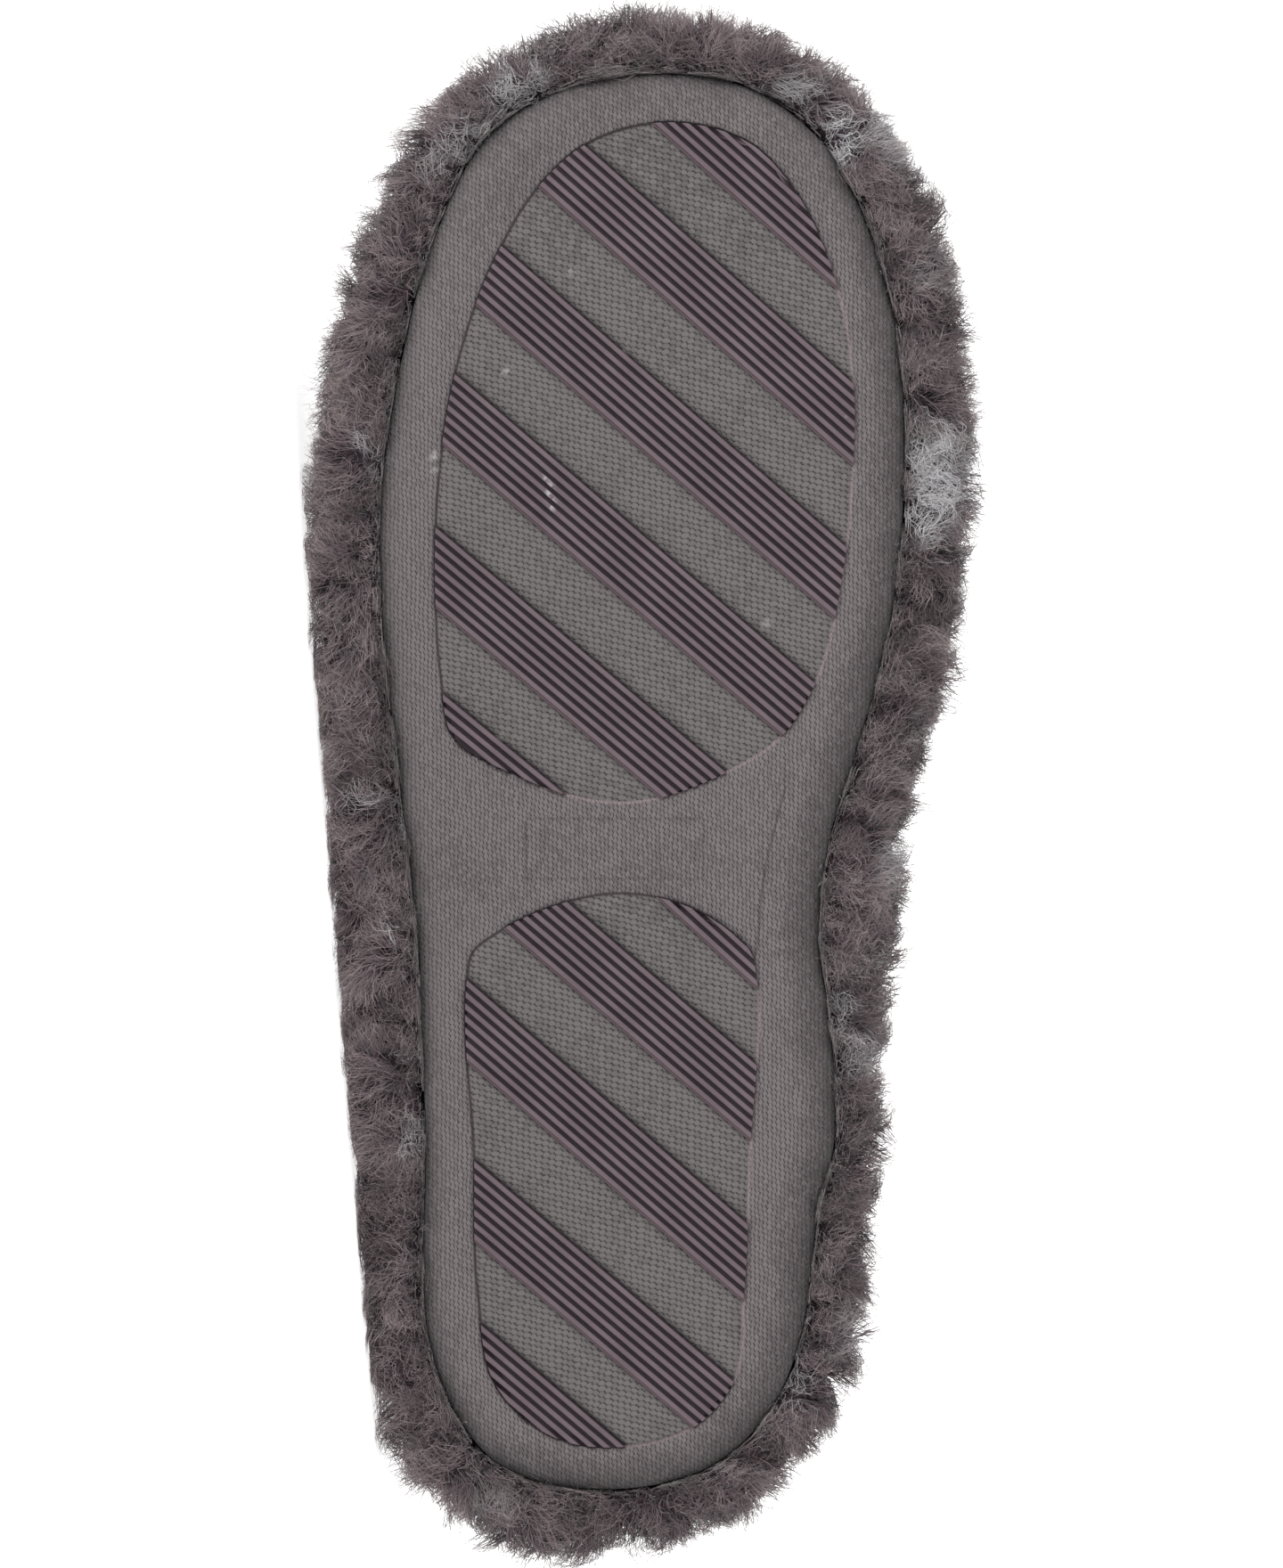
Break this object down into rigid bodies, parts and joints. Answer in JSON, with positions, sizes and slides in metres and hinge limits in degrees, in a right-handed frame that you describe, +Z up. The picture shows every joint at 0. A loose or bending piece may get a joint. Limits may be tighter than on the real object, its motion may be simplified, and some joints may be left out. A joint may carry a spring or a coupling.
{
  "type": "scuff slipper",
  "caption": "Right-foot scuff slipper with a deep pile upper, a padded footbed and a knit-covered sole with slanting rubber tread bands, lying on its outer side.",
  "frame": {"origin": "middle of the bounding box in X and Y, on the floor that the slipper's outer side lies on", "axes": "-X towards the toe and +X towards the heel, the sole faces -Y and the footbed +Y, +Z up through the inner side; the sole's plane leans 4 degrees back from upright"},
  "size_m": [0.2818, 0.0798, 0.1254],
  "materials": {
    "sole_knit": "matt ribbed knit",
    "tread_rubber": "matt moulded rubber",
    "platform_pile": "deep curly pile with pale flecks",
    "footbed_pile": "short curly pile",
    "upper_pile": "deep curly pile with pale flecks"
  },
  "bodies": {
    "root": {"outsole": "sole_knit", "tread_fore_1": "tread_rubber", "tread_fore_2": "tread_rubber", "tread_fore_3": "tread_rubber", "tread_fore_4": "tread_rubber", "tread_fore_5": "tread_rubber", "tread_fore_6": "tread_rubber", "tread_heel_1": "tread_rubber", "tread_heel_2": "tread_rubber", "tread_heel_3": "tread_rubber", "tread_heel_4": "tread_rubber", "tread_heel_5": "tread_rubber", "platform_cover": "platform_pile", "insole": "footbed_pile", "upper": "upper_pile"}
  },
  "joints": []
}
